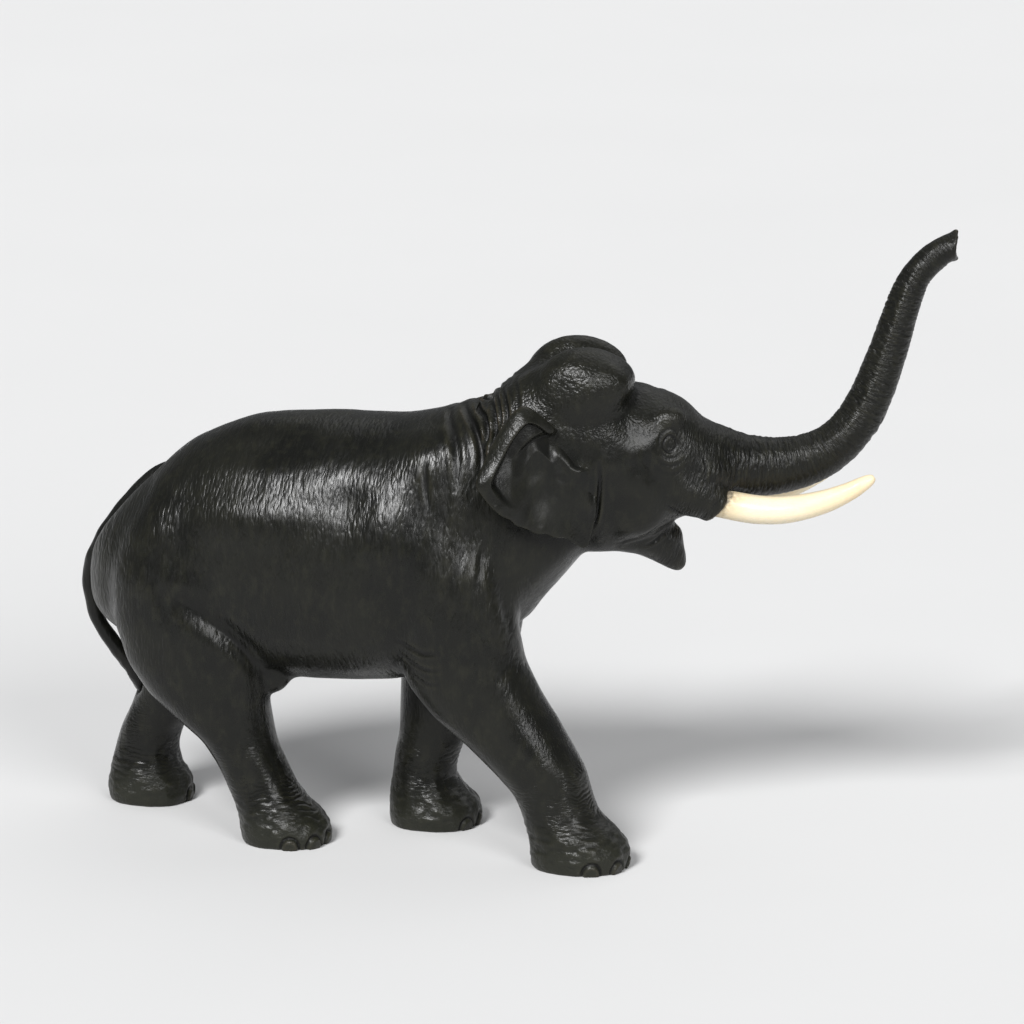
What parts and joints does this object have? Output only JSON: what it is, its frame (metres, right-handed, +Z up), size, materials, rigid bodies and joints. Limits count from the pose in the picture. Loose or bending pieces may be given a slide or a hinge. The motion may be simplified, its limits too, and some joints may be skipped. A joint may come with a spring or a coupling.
{
  "type": "elephant figurine",
  "caption": "Standing elephant figurine carved in dark wood, head turned to its left, trunk raised in an S, with pull-out cream tusks; rests on its flat soles.",
  "frame": {"origin": "middle of the footprint box, on the surface that the soles rest on", "axes": "+X towards the head, +Y to the elephant's left, +Z up"},
  "size_m": [0.562, 0.2004, 0.3988],
  "materials": {
    "carved_wood": "ebonised carved hardwood, waxed to a satin sheen",
    "tusk": "polished cream resin with a stained root",
    "dowel_wood": "plain turned beech"
  },
  "bodies": {
    "body": {"torso_right": "carved_wood", "torso_left": "carved_wood", "head": "carved_wood", "trunk": "carved_wood", "leg_front_right": "carved_wood", "leg_front_left": "carved_wood", "leg_hind_right": "carved_wood", "leg_hind_left": "carved_wood", "ear_right": "carved_wood", "ear_left": "carved_wood", "tail": "carved_wood", "torso_dowel_rear": "dowel_wood", "torso_dowel_middle": "dowel_wood", "torso_dowel_front": "dowel_wood", "neck_dowel_upper": "dowel_wood", "neck_dowel_lower": "dowel_wood", "trunk_dowel": "dowel_wood", "leg_front_right_dowel_1": "dowel_wood", "leg_front_right_dowel_2": "dowel_wood", "leg_front_left_dowel_1": "dowel_wood", "leg_front_left_dowel_2": "dowel_wood", "leg_hind_right_dowel_1": "dowel_wood", "leg_hind_right_dowel_2": "dowel_wood", "leg_hind_left_dowel_1": "dowel_wood", "leg_hind_left_dowel_2": "dowel_wood"},
    "tusk_right": {"tusk_right": "tusk"},
    "tusk_left": {"tusk_left": "tusk"}
  },
  "joints": [
    {"name": "tusk_right_pull", "type": "slide", "parent": "body", "child": "tusk_right", "axis": [0.9004, 0.3822, -0.2079], "range_m": [0, 0.026]},
    {"name": "tusk_left_pull", "type": "slide", "parent": "body", "child": "tusk_left", "axis": [0.8715, 0.4441, -0.2079], "range_m": [0, 0.026]}
  ]
}
